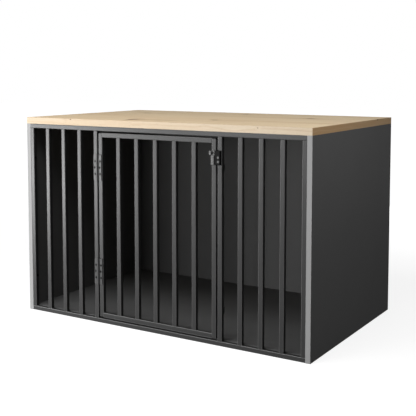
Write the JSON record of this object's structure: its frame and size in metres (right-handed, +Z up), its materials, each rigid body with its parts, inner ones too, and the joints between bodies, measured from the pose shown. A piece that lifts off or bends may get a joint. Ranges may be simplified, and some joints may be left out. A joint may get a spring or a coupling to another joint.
{
  "type": "pet crate",
  "caption": "Furniture-style pet crate: boarded box with a wood-look top, a welded bar grille in front, and a hinged bar door with a slide bolt.",
  "frame": {"origin": "middle of the underside, on the floor, half way between the two sides and half way between the front edges and the back", "axes": "+X to the right seen from the front, +Y to the back, +Z up; the door faces -Y"},
  "size_m": [1.1, 0.6805, 0.69],
  "materials": {
    "oak_laminate": "light knotty oak print, satin laminate",
    "anthracite_board": "anthracite melamine on chipboard, fine matt texture",
    "light_grey_band": "satin light grey edge band",
    "graphite_steel": "graphite powder coat, satin",
    "hinge_steel": "graphite coated hinge steel, satin",
    "latch_metal": "graphite coated die casting, satin",
    "black_plastic": "black moulded plastic, matt",
    "dark_screw": "blackened steel",
    "zinc": "bright zinc",
    "beech": "bare turned beech"
  },
  "bodies": {
    "crate": {"back_panel": "anthracite_board", "board_dowels": "beech", "bottom_panel": "anthracite_board", "cam_bolts": "zinc", "cam_locks": "zinc", "door_stops": "graphite_steel", "grille_bottom_rail": "graphite_steel", "grille_screws": "dark_screw", "grille_top_rail": "graphite_steel", "hinge_post": "graphite_steel", "hinge_post_screws": "dark_screw", "keeper_screws": "latch_metal", "latch_keeper": "black_plastic", "latch_post": "graphite_steel", "left_bar_1": "graphite_steel", "left_bar_2": "graphite_steel", "left_bar_3": "graphite_steel", "left_front_band": "light_grey_band", "left_post": "graphite_steel", "left_side_panel": "anthracite_board", "lower_hinge_pin": "hinge_steel", "lower_hinge_post_leaf": "hinge_steel", "right_bar_1": "graphite_steel", "right_bar_2": "graphite_steel", "right_bar_3": "graphite_steel", "right_front_band": "light_grey_band", "right_post": "graphite_steel", "right_side_panel": "anthracite_board", "top_edge_bands": "oak_laminate", "top_panel": "oak_laminate", "upper_hinge_pin": "hinge_steel", "upper_hinge_post_leaf": "hinge_steel"},
    "door": {"door_bar_1": "graphite_steel", "door_bar_2": "graphite_steel", "door_bar_3": "graphite_steel", "door_bar_4": "graphite_steel", "door_bar_5": "graphite_steel", "door_bottom_rail": "graphite_steel", "door_end_plugs": "black_plastic", "door_hinge_stile": "graphite_steel", "door_latch_stile": "graphite_steel", "door_top_rail": "graphite_steel", "hinge_door_screws": "dark_screw", "latch_housing": "latch_metal", "latch_screws": "latch_metal", "lower_hinge_door_leaf": "hinge_steel", "upper_hinge_door_leaf": "hinge_steel"},
    "slide_bolt": {"latch_bolt": "latch_metal", "bolt_knob": "latch_metal"}
  },
  "joints": [
    {"name": "door_hinge", "type": "hinge", "parent": "crate", "child": "door", "pos_m": [-0.232, -0.3365, 0.334], "axis": [0, 0, -1], "range_deg": [0, 180]},
    {"name": "bolt_slide", "type": "slide", "parent": "door", "child": "slide_bolt", "axis": [1, 0, 0], "range_m": [0, 0.008]}
  ]
}
